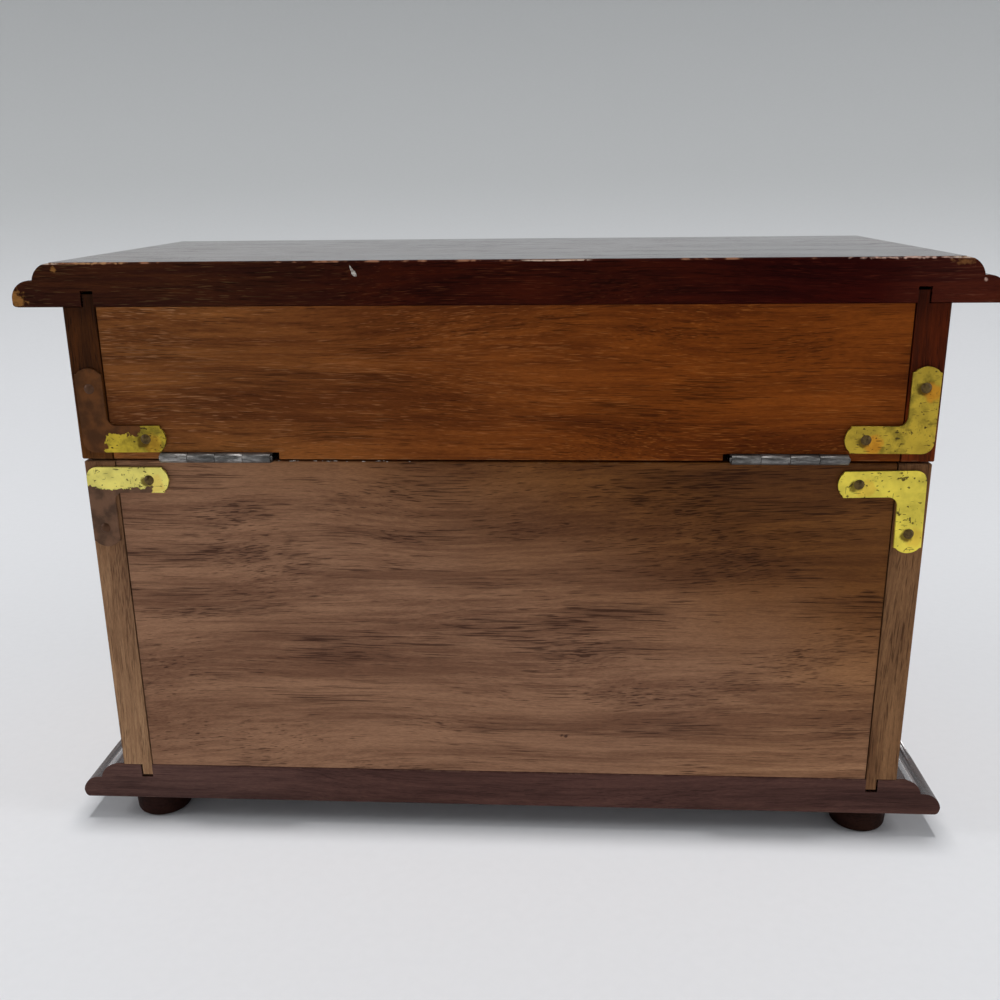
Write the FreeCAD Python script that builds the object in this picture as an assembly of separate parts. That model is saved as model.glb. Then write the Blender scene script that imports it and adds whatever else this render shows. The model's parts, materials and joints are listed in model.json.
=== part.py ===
import FreeCAD, Part
import math
import os
from FreeCAD import Vector

# A small wooden keepsake box: a case on four turned feet and a hinged lid, both closed by
# moulded boards of one size, with brass corner plates and two steel butt hinges at the back.
# All lengths are millimetres. +X is the object's right as seen from its front, the front
# faces -Y, and +Z is up. The origin lies on the floor, under the middle of the bounding box.

# Case and lid walls
case_width = 190.0
lid_proud = 0.35            # how far the lid's sides stand outside the case's
wall_depth = 82.5           # front face to back face of the walls
side_thickness = 7.2
panel_thickness = 7.0       # front and back boards
case_height = 78.5          # base board to parting line
lid_height = 34.3           # parting line to top board
parting_gap = 0.4
panel_recess = 0.2          # front and back boards lie this far inside the sides' edges
panel_shoulder_gap = 0.3    # open glue line between a side and the board beside it
edge_ease = 0.4             # rounding on the walls' outer edges

# Tongue and dado joints
tongue_thickness = 2.4
tongue_length = 2.8
dado_extra_depth = 0.7
dado_extra_width = 0.4

# Moulded boards
top_thickness = 9.6
base_thickness = 9.6
overhang = 10.95            # past the walls, at the front and both sides
back_ease = 0.45            # rounding on the boards' long back edges
ovolo_width = 4.1
ovolo_height = 3.8
ovolo_bulge = 0.95          # how far the round stands out from its chord
ledge_width = 0.8
nose_width = 4.15
nose_bulge = 1.0
nose_tip_height = 2.2       # where the nose's round meets the upright lip under it
lip_round = 0.8

# Turned feet
foot_radius = 7.0
foot_height = 6.0
foot_taper = 0.4            # a foot's radius is this much less at the floor
foot_round = 1.2
foot_side_margin = 10.45    # board's side edge to the foot
foot_front_margin = 11.45   # board's front edge to the foot
foot_back_margin = 0.5      # board's back edge to the foot
tenon_radius = 3.0
tenon_end_gap = 0.5
tenon_cover = 0.6           # wood left between a foot's hole and the dado above it

# Butt hinges
hinge_length = 25.4
hinge_from_side = 18.3      # case's side face to the hinge's outer end
hinge_leaf_cover = 0.7      # wood left between a leaf's mortise and the inside of the box
case_mortise_depth = 0.15   # how deep a leaf is let into the case's edge
leaf_thickness = 0.6
hinge_pin_radius = 0.5
hinge_running_clearance = 0.04
knuckle_count = 4
knuckle_end_gap = 0.12
knuckle_relief = 0.2
pin_end_proud = 0.35
hinge_axis_proud = 0.6      # pin axis behind the walls' back face
mortise_end_gap = 0.1
lid_mortise_overrun = 1.6   # the lid's mortise is this much longer at its inner end
hinge_screw_from_end = 5.2
hinge_screw_head_radius = 1.3
hinge_screw_radius = 0.6
hinge_screw_length = 8.0

# Corner plates and their round-headed pins
plate_arm_length = 19.2
plate_arm_width = 6.1
plate_thickness = 0.6
plate_outer_radius = 2.6
plate_inner_radius = 2.0
plate_shoulder_drop = 1.3
plate_notch_width = 0.8
plate_notch_rise = 0.5
plate_pin_from_tip = 4.6
plate_pin_radius = 0.55
plate_pin_head_radius = 1.15
plate_pin_head_height = 0.6
pin_end_cover = 1.6         # wood left between a pin's point and the inside of the box
# Each plate's margins from the side face and from the parting edge, and the degrees by which
# its lying arm's tip is turned away from the parting edge. The plates were nailed on by eye.
plate_places = {
    ("lid", "back", "left"): (0.7, 1.9, 0.3),
    ("lid", "back", "right"): (1.1, 1.7, 0.4),
    ("case", "back", "left"): (1.0, 1.3, 1.1),
    ("case", "back", "right"): (0.4, 1.3, 0.0),
    ("lid", "front", "left"): (0.8, 1.5, 0.2),
    ("lid", "front", "right"): (1.0, 1.6, -0.4),
    ("case", "front", "left"): (0.7, 1.3, 0.0),
    ("case", "front", "right"): (0.9, 1.4, 0.6),
}

# Front catch: a flat hook that hangs from the case and swings up over a stud on the lid
hook_pivot_below_case_top = 12.0
hook_stud_above_lid_edge = 8.0
hook_thickness = 1.2
hook_eye_radius = 3.0
hook_shank_width = 2.8
hook_head_radius = 3.3
hook_slot_clearance = 0.3
hook_play = 0.1             # free play of the hook along its pivot
hook_tail_radius = 1.5
washer_thickness = 0.5
washer_radius = 2.6
pivot_neck_radius = 1.2
pivot_clearance = 0.08
pivot_head_radius = 2.3
pivot_head_height = 1.1
pivot_screw_radius = 0.9
stud_neck_radius = 1.0
stud_head_radius = 2.2
stud_head_height = 0.9
stud_shank_radius = 0.8
stud_head_clearance = 0.3

# Felt on the floor of the case
felt_thickness = 0.8
felt_wall_gap = 0.3

# Heights, from the floor up
z_base = foot_height
z_case = z_base + base_thickness
z_part = z_case + case_height
z_lid = z_part + parting_gap
z_top_under = z_lid + lid_height
z_top = z_top_under + top_thickness

# Depths. The bounding box runs from the front nose to the back of the hinge knuckles.
knuckle_radius = hinge_pin_radius + leaf_thickness
hinge_proud = hinge_axis_proud + knuckle_radius
y_back = (overhang + wall_depth - hinge_proud) / 2
y_front = y_back - wall_depth
y_nose = y_front - overhang

# Widths
case_half = case_width / 2
lid_half = case_half + lid_proud

# Joints in the wood
dado_depth = tongue_length + dado_extra_depth
tenon_length = base_thickness - dado_depth - tenon_cover - tenon_end_gap
pin_depth = panel_recess + panel_thickness - pin_end_cover

# Hinges. The leaves lie in the edges of the back boards.
hinge_centre_x = case_half - hinge_from_side - hinge_length / 2
y_axis = y_back + hinge_axis_proud
z_axis = z_part - case_mortise_depth + knuckle_radius
y_mortise_end = y_back - panel_recess - panel_thickness + hinge_leaf_cover
y_leaf_end = y_mortise_end + mortise_end_gap
y_hinge_screw = (y_leaf_end + y_back) / 2

# The hook's pivot and stud
z_pivot = z_part - hook_pivot_below_case_top
z_stud = z_lid + hook_stud_above_lid_edge

UP = Vector(0, 0, 1)
REAR = Vector(0, 1, 0)
RIGHT = Vector(1, 0, 0)
SIDES = {"left": -1, "right": 1}
FACES = {"front": -1, "back": 1}


# Shared shapes

def block(x0, x1, y0, y1, z0, z1):
    """Box between two opposite corners, given in any order."""
    x0, x1 = sorted((x0, x1))
    y0, y1 = sorted((y0, y1))
    z0, z1 = sorted((z0, z1))
    return Part.makeBox(x1 - x0, y1 - y0, z1 - z0, Vector(x0, y0, z0))


def rod(radius, start, end):
    """Cylinder between two points."""
    axis = end - start
    return Part.makeCylinder(radius, axis.Length, start, axis)


def line(p, q):
    return Part.LineSegment(p, q).toShape()


def bulged(p, q, bulge, outward):
    """Arc from p to q whose middle stands out from the chord by bulge, on the side of outward."""
    chord = q - p
    normal = outward - chord * (outward.dot(chord) / chord.dot(chord))
    middle = (p + q) * 0.5 + normal.normalize() * bulge
    return Part.Arc(p, middle, q).toShape()


def solid_from(edges, direction):
    """Solid swept from a closed outline along a direction."""
    outline = Part.Wire(Part.__sortEdges__(edges))
    return Part.Face(outline).extrude(direction)


def near(a, b):
    """True where two places are too close together to be two corners of a board."""
    return abs(a - b) < edge_ease


def eased(shape, radius, picks):
    """Shape with the edges for which picks is true rounded."""
    edges = [edge for edge in shape.Edges if picks(edge)]
    return shape.makeFillet(radius, edges)


def rounded(start, corner, end):
    """Quarter arc from start to end that rounds off the square corner between them."""
    centre = start + end - corner
    middle = centre + (corner - centre).normalize() * (start - centre).Length
    return Part.Arc(start, middle, end).toShape()


# Moulded boards

def moulding(edge_at, thickness):
    """Edges of the moulded rim, from the top's flat to the underside.

    edge_at turns a distance in from the board's outer edge and a height above its underside
    into a point. It returns the edges with the rim's first and last points.
    """
    ledge_height = thickness - ovolo_height
    flat_end = edge_at(nose_width + ledge_width + ovolo_width, thickness)
    ovolo_end = edge_at(nose_width + ledge_width, ledge_height)
    ledge_end = edge_at(nose_width, ledge_height)
    tip = edge_at(0, nose_tip_height)
    lip = edge_at(0, lip_round)
    under = edge_at(lip_round, 0)
    outward = edge_at(-1, 1) - edge_at(0, 0)
    edges = [
        bulged(flat_end, ovolo_end, ovolo_bulge, outward),
        line(ovolo_end, ledge_end),
        bulged(ledge_end, tip, nose_bulge, outward),
        line(tip, lip),
        rounded(lip, edge_at(0, 0), under),
    ]
    return edges, flat_end, under


def moulded_board(wall_half, z_under, thickness):
    """Board with the same rim on its front and both sides, cut square at the back."""
    half = wall_half + overhang
    right, right_flat, right_under = moulding(
        lambda inward, up: Vector(half - inward, y_nose, z_under + up), thickness)
    left, left_flat, left_under = moulding(
        lambda inward, up: Vector(inward - half, y_nose, z_under + up), thickness)
    across = right + left + [line(left_flat, right_flat), line(left_under, right_under)]
    side_rims = solid_from(across, REAR * (y_back - y_nose))

    front, front_flat, front_under = moulding(
        lambda inward, up: Vector(-half, y_nose + inward, z_under + up), thickness)
    corner_top = Vector(-half, y_back, z_under + thickness)
    corner_under = Vector(-half, y_back, z_under)
    along = front + [
        line(front_flat, corner_top - REAR * back_ease),
        rounded(corner_top - REAR * back_ease, corner_top, corner_top - UP * back_ease),
        line(corner_top - UP * back_ease, corner_under + UP * back_ease),
        rounded(corner_under + UP * back_ease, corner_under, corner_under - REAR * back_ease),
        line(corner_under - REAR * back_ease, front_under),
    ]
    front_rim = solid_from(along, RIGHT * (2 * half))
    return side_rims.common(front_rim)


def side_dado(half, sign, z_face, direction):
    """Groove in a moulded board for a side's tongue. It is open at the back only."""
    outer = sign * (half - side_thickness + tongue_thickness + dado_extra_width)
    inner = sign * (half - side_thickness)
    deep = z_face + direction * dado_depth
    return block(outer, inner, y_front, y_back, z_face, deep)


def foot_centre(side, face):
    x = SIDES[side] * (case_half + overhang - foot_side_margin - foot_radius)
    if face == "back":
        return Vector(x, y_back - foot_back_margin - foot_radius, 0)
    return Vector(x, y_nose + foot_front_margin + foot_radius, 0)


def base_board():
    board = moulded_board(case_half, z_base, base_thickness)
    for side in SIDES:
        board = board.cut(side_dado(case_half, SIDES[side], z_case, -1))
        for face in FACES:
            start = foot_centre(side, face) + UP * z_base
            board = board.cut(rod(tenon_radius, start, start + UP * (tenon_length + tenon_end_gap)))
    return board


def lid_top_board():
    board = moulded_board(lid_half, z_top_under, top_thickness)
    for side in SIDES:
        board = board.cut(side_dado(lid_half, SIDES[side], z_top_under, 1))
    return board


def foot(side, face):
    """Turned button foot with its tenon."""
    centre = foot_centre(side, face)
    button = Part.makeCone(foot_radius - foot_taper, foot_radius, foot_height, centre, UP)
    button = eased(button, foot_round, lambda edge: edge.BoundBox.ZMax < foot_round / 2)
    start = centre + UP * foot_height
    return button.fuse(rod(tenon_radius, start, start + UP * tenon_length)).removeSplitter()


# Walls of the case and the lid

def wall_face(face):
    return y_back if face == "back" else y_front


def wall_groove(half, sign, face, z0, z1):
    """Upright groove in a side for the tongue of the front or back board."""
    y_outer = wall_face(face) - FACES[face] * (panel_recess + panel_thickness - tongue_thickness)
    y_inner = wall_face(face) - FACES[face] * (panel_recess + panel_thickness)
    inner = sign * (half - side_thickness)
    return block(inner, inner + sign * dado_depth, y_outer, y_inner, z0, z1)


def side_wall(half, side, z_parting, z_board):
    """Upright-grained side. Its tongue enters the moulded board at z_board."""
    sign = SIDES[side]
    outer = sign * half
    inner = sign * (half - side_thickness)
    wall = block(outer, inner, y_front, y_back, z_parting, z_board)

    def shows(edge):
        """True round the outer face and the ends of the parting edge, but not at the board."""
        middle = edge.CenterOfMass
        at_outer_face = near(middle.x, outer)
        across_parting = edge.BoundBox.XLength > edge_ease and near(middle.z, z_parting)
        return (at_outer_face or across_parting) and not near(middle.z, z_board)

    wall = eased(wall, edge_ease, shows)
    z_tip = z_board + math.copysign(tongue_length, z_board - z_parting)
    tongue = block(inner + sign * tongue_thickness, inner, y_front, y_back, z_board, z_tip)
    wall = wall.fuse(tongue).removeSplitter()
    for face in FACES:
        wall = wall.cut(wall_groove(half, sign, face, z_parting, z_board))
    return wall


def panel(half, face, z_parting, z_board):
    """Front or back board with a tongue at each end."""
    y_out = wall_face(face) - FACES[face] * panel_recess
    y_in = y_out - FACES[face] * panel_thickness
    reach = half - side_thickness
    shoulder = reach - panel_shoulder_gap
    board = block(-shoulder, shoulder, y_out, y_in, z_parting, z_board)
    board = eased(board, edge_ease, lambda edge: edge.BoundBox.XLength > shoulder
                  and near(edge.CenterOfMass.y, y_out) and near(edge.CenterOfMass.z, z_parting))
    tip = reach + tongue_length
    y_tongue = y_in + FACES[face] * tongue_thickness
    return board.fuse(block(-tip, tip, y_tongue, y_in, z_parting, z_board)).removeSplitter()


def case_side(side):
    wall = side_wall(case_half, side, z_part, z_case)
    return drilled(wall, plate_pin_holes("case", side))


def lid_side(side):
    wall = side_wall(lid_half, side, z_lid, z_top_under)
    return drilled(wall, plate_pin_holes("lid", side))


def case_front_board():
    board = panel(case_half, "front", z_part, z_case)
    board = drilled(board, [pivot_screw_shank()])
    return drilled(board, plate_pin_holes("case"))


def case_back_board():
    board = panel(case_half, "back", z_part, z_case)
    for side in SIDES:
        board = board.cut(hinge_mortise(side, "case"))
        board = drilled(board, [hinge_screw_shank(x, "case") for x in hinge_screw_places(side)])
    return drilled(board, plate_pin_holes("case"))


def lid_front_board():
    board = panel(lid_half, "front", z_lid, z_top_under)
    board = drilled(board, [stud_shank()])
    return drilled(board, plate_pin_holes("lid"))


def lid_back_board():
    board = panel(lid_half, "back", z_lid, z_top_under)
    for side in SIDES:
        board = board.cut(hinge_mortise(side, "lid"))
        board = drilled(board, [hinge_screw_shank(x, "lid") for x in hinge_screw_places(side)])
    return drilled(board, plate_pin_holes("lid"))


def drilled(board, shanks):
    for shank in shanks:
        board = board.cut(shank)
    return board


# Hinges

def leaf_levels(owner):
    """Height of a leaf's outer and inner faces. The outer face beds on the wood."""
    way = -1 if owner == "case" else 1
    return z_axis + way * knuckle_radius, z_axis + way * hinge_pin_radius


def hinge_mortise(side, owner):
    """Recess for one leaf in the edge of a back board."""
    sign = SIDES[side]
    outer_level, _ = leaf_levels(owner)
    half_length = hinge_length / 2 + mortise_end_gap
    overrun = lid_mortise_overrun if owner == "lid" else 0
    x_outer = sign * (hinge_centre_x + half_length)
    x_inner = sign * (hinge_centre_x - half_length - overrun)
    open_level = z_lid if owner == "lid" else z_part
    return block(x_outer, x_inner, y_mortise_end, y_axis, outer_level, open_level)


def knuckle_spans(owner):
    """Start and end of each knuckle of one leaf, measured from the hinge's -X end."""
    pitch = hinge_length / knuckle_count
    first = 0 if owner == "lid" else 1
    return [(i * pitch, (i + 1) * pitch) for i in range(first, knuckle_count, 2)]


def hinge_start(side):
    return SIDES[side] * hinge_centre_x - hinge_length / 2


def hinge_leaf(side, owner):
    """Flat leaf with its knuckles rolled round the pin."""
    x0 = hinge_start(side)
    outer_level, inner_level = leaf_levels(owner)
    leaf = block(x0, x0 + hinge_length, y_leaf_end, y_axis, outer_level, inner_level)
    relief_radius = knuckle_radius + knuckle_relief
    leaf = leaf.cut(rod(relief_radius, Vector(x0, y_axis, z_axis),
                        Vector(x0 + hinge_length, y_axis, z_axis)))
    for start, end in knuckle_spans(owner):
        near = x0 + start + knuckle_end_gap / 2
        far = x0 + end - knuckle_end_gap / 2
        barrel = rod(knuckle_radius, Vector(near, y_axis, z_axis), Vector(far, y_axis, z_axis))
        root = block(near, far, y_axis - relief_radius - leaf_thickness, y_axis,
                     outer_level, inner_level)
        leaf = leaf.fuse(barrel).fuse(root)
    running = hinge_running_clearance if owner == "lid" else 0
    bore = rod(hinge_pin_radius + running, Vector(x0, y_axis, z_axis),
               Vector(x0 + hinge_length, y_axis, z_axis))
    leaf = leaf.cut(bore).removeSplitter()
    for x in hinge_screw_places(side):
        leaf = leaf.cut(hinge_screw(x, owner))
    return leaf


def hinge_pin(side):
    x0 = hinge_start(side)
    start = Vector(x0 - pin_end_proud, y_axis, z_axis)
    end = Vector(x0 + hinge_length + pin_end_proud, y_axis, z_axis)
    pin = rod(hinge_pin_radius, start, end)
    ends = [edge for edge in pin.Edges if isinstance(edge.Curve, Part.Circle)]
    return pin.makeFillet(pin_end_proud / 2, ends)


def hinge_screw_places(side):
    x0 = hinge_start(side)
    return [x0 + hinge_screw_from_end, x0 + hinge_length - hinge_screw_from_end]


def hinge_screw_frame(x, owner):
    """Centre of a screw's head on the leaf's inner face, and the way the screw points."""
    _, inner_level = leaf_levels(owner)
    way = -1 if owner == "case" else 1
    return Vector(x, y_hinge_screw, inner_level), UP * way


def hinge_screw_shank(x, owner):
    head, way = hinge_screw_frame(x, owner)
    return rod(hinge_screw_radius, head, head + way * hinge_screw_length)


def hinge_screw(x, owner):
    """Countersunk screw whose head is flush with the leaf's inner face."""
    head, way = hinge_screw_frame(x, owner)
    cone = Part.makeCone(hinge_screw_head_radius, hinge_screw_radius, leaf_thickness, head, way)
    return cone.fuse(hinge_screw_shank(x, owner)).removeSplitter()


def hinge_screws(owner):
    return Part.makeCompound([hinge_screw(x, owner)
                              for side in SIDES for x in hinge_screw_places(side)])


# Corner plates

def plate_place(owner, face, side):
    """Outer corner of a plate on its wall, and the ways its two arms run."""
    side_margin, edge_margin, tilt = plate_places[(owner, face, side)]
    half = case_half if owner == "case" else lid_half
    edge = z_part if owner == "case" else z_lid
    inward = RIGHT * -SIDES[side]
    away = UP if owner == "lid" else -UP
    corner = Vector(SIDES[side] * (half - side_margin), wall_face(face), edge) + away * edge_margin
    lean = math.radians(tilt)
    flat = inward * math.cos(lean) + away * math.sin(lean)
    upright = away * math.cos(lean) - inward * math.sin(lean)
    return corner, flat, upright


def arm_end(origin, along, across):
    """Edges of an arm's shaped end, from its outer edge to its inner edge.

    The tip is a round bracket between two small hollow shoulders.
    """
    shoulder = plate_arm_length - plate_shoulder_drop
    rise = shoulder + plate_notch_rise
    outer = origin + along * shoulder
    outer_notch = origin + along * rise + across * plate_notch_width
    tip = origin + along * plate_arm_length + across * (plate_arm_width / 2)
    inner_notch = origin + along * rise + across * (plate_arm_width - plate_notch_width)
    inner = outer + across * plate_arm_width
    hollow = plate_notch_rise / 4
    return outer, inner, [
        bulged(outer, outer_notch, hollow, across - along),
        Part.Arc(outer_notch, tip, inner_notch).toShape(),
        bulged(inner_notch, inner, hollow, -across - along),
    ]


def plate_outline(origin, flat, upright):
    """Closed outline of an L plate whose arms run along flat and upright from its corner."""
    flat_outer, flat_inner, flat_end = arm_end(origin, flat, upright)
    up_outer, up_inner, up_end = arm_end(origin, upright, flat)
    diagonal = flat + upright
    heel_flat = origin + flat * plate_outer_radius
    heel_up = origin + upright * plate_outer_radius
    heel = origin + diagonal * (plate_outer_radius * (1 - math.sqrt(0.5)))
    crotch = origin + diagonal * plate_arm_width
    crotch_flat = crotch + flat * plate_inner_radius
    crotch_up = crotch + upright * plate_inner_radius
    hollow = crotch + diagonal * (plate_inner_radius * (1 - math.sqrt(0.5)))
    return flat_end + up_end + [
        line(heel_flat, flat_outer),
        line(heel_up, up_outer),
        Part.Arc(heel_flat, heel, heel_up).toShape(),
        line(flat_inner, crotch_flat),
        line(up_inner, crotch_up),
        Part.Arc(crotch_flat, hollow, crotch_up).toShape(),
    ]


def plate_pin_places(owner, face, side):
    """Centres of a plate's two pins on the wall's face."""
    corner, flat, upright = plate_place(owner, face, side)
    middle = plate_arm_width / 2
    reach = plate_arm_length - plate_pin_from_tip
    return [corner + flat * reach + upright * middle, corner + upright * reach + flat * middle]


def plate_pin_shank(place, face):
    inward = REAR * -FACES[face]
    return rod(plate_pin_radius, place - inward * plate_thickness, place + inward * pin_depth)


def plate_pin(place, face):
    """Round-headed pin whose head beds on the plate."""
    outward = REAR * FACES[face]
    seat = place + outward * plate_thickness
    radius = dome_radius(plate_pin_head_radius, plate_pin_head_height)
    ball = Part.makeSphere(radius, seat + outward * (plate_pin_head_height - radius))
    cup = Part.makeCylinder(plate_pin_head_radius, plate_pin_head_height, seat, outward)
    return ball.common(cup).fuse(plate_pin_shank(place, face)).removeSplitter()


def dome_radius(rim_radius, height):
    """Radius of the ball whose cap has this rim and height."""
    return (rim_radius ** 2 + height ** 2) / (2 * height)


def corner_plate(owner, face, side):
    corner, flat, upright = plate_place(owner, face, side)
    outward = REAR * FACES[face]
    plate = solid_from(plate_outline(corner, flat, upright), outward * plate_thickness)
    return drilled(plate, [plate_pin_shank(p, face) for p in plate_pin_places(owner, face, side)])


def all_pin_places(owner):
    return [(place, face) for (who, face, side) in plate_places if who == owner
            for place in plate_pin_places(who, face, side)]


def plate_pin_holes(owner, side=None):
    """Shanks of one body's pins, and only those of one side where a side is given."""
    sign = SIDES.get(side)
    return [plate_pin_shank(place, face) for place, face in all_pin_places(owner)
            if sign is None or place.x * sign > 0]


def plate_pins(owner):
    return Part.makeCompound([plate_pin(place, face) for place, face in all_pin_places(owner)])


# Front catch

def on_front(z, out):
    """Point on the box's middle line, out from the front board's face."""
    return Vector(0, y_front + panel_recess - out, z)


def hook_levels():
    """Distance of the hook's back and front faces from the front board."""
    near = washer_thickness + hook_play / 2
    return near, near + hook_thickness


def hook_reach():
    return z_stud - z_pivot


def front_hook():
    """Flat brass hook, hanging straight down. Its slot takes the stud when it is swung up."""
    near, far = hook_levels()
    pivot = on_front(z_pivot, far)
    end = on_front(z_pivot - hook_reach(), far)
    tail = on_front(z_pivot - hook_reach() - hook_head_radius - hook_tail_radius / 2, far)
    through = REAR * (far - near)
    eye = rod(hook_eye_radius, pivot, pivot + through)
    head = rod(hook_head_radius, end, end + through)
    knob = rod(hook_tail_radius, tail, tail + through)
    half_shank = hook_shank_width / 2
    shank = block(-half_shank, half_shank, pivot.y, pivot.y + hook_thickness, pivot.z, end.z)
    hook = eye.fuse(shank).fuse(head).fuse(knob)
    hook = hook.cut(rod(pivot_neck_radius + pivot_clearance, pivot, pivot + through))
    return hook.cut(hook_slot(pivot, end, through)).removeSplitter()


def hook_slot(pivot, end, through):
    """Slot that follows the stud's path about the pivot and opens on the hook's +X side."""
    half_gap = stud_neck_radius + hook_slot_clearance
    reach = pivot.z - end.z
    ring = rod(reach + half_gap, pivot, pivot + through)
    ring = ring.cut(rod(reach - half_gap, pivot, pivot + through))
    mouth = block(0, 2 * hook_head_radius, end.y, end.y + hook_thickness,
                  end.z - 2 * half_gap, end.z + 2 * half_gap)
    return ring.common(mouth).fuse(rod(half_gap, end, end + through))


def hook_washer():
    ring = rod(washer_radius, on_front(z_pivot, 0), on_front(z_pivot, washer_thickness))
    return ring.cut(rod(pivot_neck_radius, on_front(z_pivot, 0), on_front(z_pivot, washer_thickness)))


def front_shank(radius, z):
    """Shank of a screw or stud in a front board, stopping short of its inner face."""
    return rod(radius, on_front(z, 0), on_front(z, pin_end_cover - panel_thickness))


def pivot_screw_shank():
    return front_shank(pivot_screw_radius, z_pivot)


def domed_head(z, out, rim_radius, height):
    """Low domed head, bedding at the distance out from the front board."""
    radius = dome_radius(rim_radius, height)
    ball = Part.makeSphere(radius, on_front(z, out + height - radius))
    return ball.common(rod(rim_radius, on_front(z, out), on_front(z, out + height)))


def hook_screw():
    """Round-headed screw on which the hook turns. Its neck bears on the front board."""
    _, far = hook_levels()
    seat = far + hook_play / 2
    neck = rod(pivot_neck_radius, on_front(z_pivot, 0), on_front(z_pivot, seat))
    head = domed_head(z_pivot, seat, pivot_head_radius, pivot_head_height)
    return head.fuse(neck).fuse(pivot_screw_shank()).removeSplitter()


def stud_shank():
    return front_shank(stud_shank_radius, z_stud)


def hook_stud():
    """Round-headed stud on the lid that the hook's slot passes under."""
    _, far = hook_levels()
    seat = far + stud_head_clearance
    neck = rod(stud_neck_radius, on_front(z_stud, 0), on_front(z_stud, seat))
    head = domed_head(z_stud, seat, stud_head_radius, stud_head_height)
    return head.fuse(neck).fuse(stud_shank()).removeSplitter()


def floor_felt():
    """Sheet of felt on the floor of the case, between the four walls."""
    x = case_half - side_thickness - felt_wall_gap
    inset = panel_recess + panel_thickness + felt_wall_gap
    return block(-x, x, y_front + inset, y_back - inset, z_case, z_case + felt_thickness)


def all_parts():
    """Every piece by its name."""
    parts = {
        "base_board": base_board(),
        "case_front_board": case_front_board(),
        "case_back_board": case_back_board(),
        "floor_felt": floor_felt(),
        "lid_top_board": lid_top_board(),
        "lid_front_board": lid_front_board(),
        "lid_back_board": lid_back_board(),
        "front_hook": front_hook(),
        "hook_washer": hook_washer(),
        "hook_screw": hook_screw(),
        "hook_stud": hook_stud(),
    }
    for side in SIDES:
        parts[f"case_side_{side}"] = case_side(side)
        parts[f"lid_side_{side}"] = lid_side(side)
        parts[f"hinge_pin_{side}"] = hinge_pin(side)
        for face in FACES:
            parts[f"foot_{face}_{side}"] = foot(side, face)
    for owner in ("case", "lid"):
        parts[f"{owner}_hinge_screws"] = hinge_screws(owner)
        parts[f"{owner}_plate_pins"] = plate_pins(owner)
        for side in SIDES:
            parts[f"{owner}_hinge_leaf_{side}"] = hinge_leaf(side, owner)
    for owner, face, side in plate_places:
        parts[f"{owner}_plate_{face}_{side}"] = corner_plate(owner, face, side)
    return parts


os.makedirs("parts", exist_ok=True)
for name, shape in all_parts().items():
    if not shape.isValid():
        raise ValueError(f"{name} is not a valid shape")
    shape.exportStep(f"parts/{name}.step")
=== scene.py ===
import json
import math
import random

import bmesh
import bpy
from mathutils import Matrix, Vector, noise

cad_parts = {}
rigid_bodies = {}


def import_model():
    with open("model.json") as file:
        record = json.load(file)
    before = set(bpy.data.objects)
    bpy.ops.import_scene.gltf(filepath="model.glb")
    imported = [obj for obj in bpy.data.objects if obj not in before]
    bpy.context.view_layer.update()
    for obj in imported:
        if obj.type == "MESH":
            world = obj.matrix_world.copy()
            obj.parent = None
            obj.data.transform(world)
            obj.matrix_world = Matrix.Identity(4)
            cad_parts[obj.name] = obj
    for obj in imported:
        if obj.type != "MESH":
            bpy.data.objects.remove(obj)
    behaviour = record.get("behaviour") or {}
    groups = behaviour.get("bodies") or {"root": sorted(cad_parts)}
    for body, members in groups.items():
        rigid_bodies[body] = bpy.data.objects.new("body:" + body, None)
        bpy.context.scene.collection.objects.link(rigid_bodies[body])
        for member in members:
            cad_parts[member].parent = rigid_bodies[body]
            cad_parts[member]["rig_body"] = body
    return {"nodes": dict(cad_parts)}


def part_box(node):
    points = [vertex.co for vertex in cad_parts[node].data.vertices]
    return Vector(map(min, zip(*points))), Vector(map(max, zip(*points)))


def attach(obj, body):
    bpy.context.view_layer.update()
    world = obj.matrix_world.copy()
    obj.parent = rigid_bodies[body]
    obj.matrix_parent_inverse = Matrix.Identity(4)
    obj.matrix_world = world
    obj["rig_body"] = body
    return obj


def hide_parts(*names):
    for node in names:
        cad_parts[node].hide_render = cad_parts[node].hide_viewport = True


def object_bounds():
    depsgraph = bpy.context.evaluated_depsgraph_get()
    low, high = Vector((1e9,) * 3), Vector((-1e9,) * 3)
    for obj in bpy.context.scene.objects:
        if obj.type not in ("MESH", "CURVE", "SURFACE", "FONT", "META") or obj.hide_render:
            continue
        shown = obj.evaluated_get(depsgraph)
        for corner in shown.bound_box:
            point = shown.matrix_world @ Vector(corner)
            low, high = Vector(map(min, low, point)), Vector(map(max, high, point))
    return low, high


# Looks of a small wooden keepsake box, photographed from behind. Meshes are in metres, in the
# CAD frame: the back faces +Y, and the picture's right is the object's left, -X. Sizes inside
# the materials are in millimetres.

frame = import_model()
cad_low, cad_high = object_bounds()
nodes = frame["nodes"]

MM = 0.001
AXES = "xyz"
OWNERS = ("lid", "case")
FACES = ("front", "back")
SIDES = ("left", "right")
BACK_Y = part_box("lid_top_board")[1].y
TOP_Z = cad_high.z
PARTING_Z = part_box("case_back_board")[1].z


# Objects

def add_object(name, data):
    """Object of the given data, linked to the scene."""
    thing = bpy.data.objects.new(name, data)
    bpy.context.scene.collection.objects.link(thing)
    return thing


def make_piece(name, bm, material=None):
    """Object of a finished bmesh, which is freed."""
    mesh = bpy.data.meshes.new(name)
    bm.to_mesh(mesh)
    bm.free()
    if material:
        mesh.materials.append(material)
    return add_object(name, mesh)


def shade_smooth(bm):
    for face in bm.faces:
        face.smooth = True


# Camera, lamps and stage

CAMERA_PLACE = Vector((-0.01376, 0.270875, 0.15399))
CAMERA_LENS = 37.55
CAMERA_PITCH, CAMERA_YAW, CAMERA_ROLL = (math.radians(a) for a in (-16.947, 3.430, -0.669))


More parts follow.
